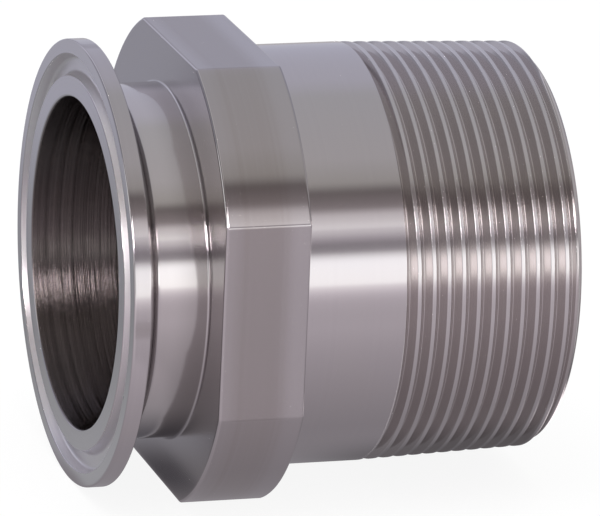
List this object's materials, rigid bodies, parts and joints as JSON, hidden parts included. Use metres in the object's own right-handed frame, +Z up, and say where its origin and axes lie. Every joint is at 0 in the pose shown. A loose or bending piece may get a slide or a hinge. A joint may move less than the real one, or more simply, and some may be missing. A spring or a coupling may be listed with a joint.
{
  "type": "sanitary clamp threaded adapter",
  "caption": "Turned steel pipe adapter: hygienic clamp ferrule at one end, male taper pipe thread at the other, round collar with wrench flats between, plain through bore.",
  "frame": {"origin": "centre of the clamp sealing face, on the axis of the bore", "axes": "+X along the bore from the sealing face to the threaded end, +Z up and -Z and +-Y square to the wrench flats, the part lying on its lower flat"},
  "size_m": [0.0667, 0.064, 0.064],
  "materials": {
    "stainless_steel": "turned and fine machined, satin, with the milled wrench flats a little duller"
  },
  "bodies": {
    "root": {"adapter_body": "stainless_steel"}
  },
  "joints": []
}
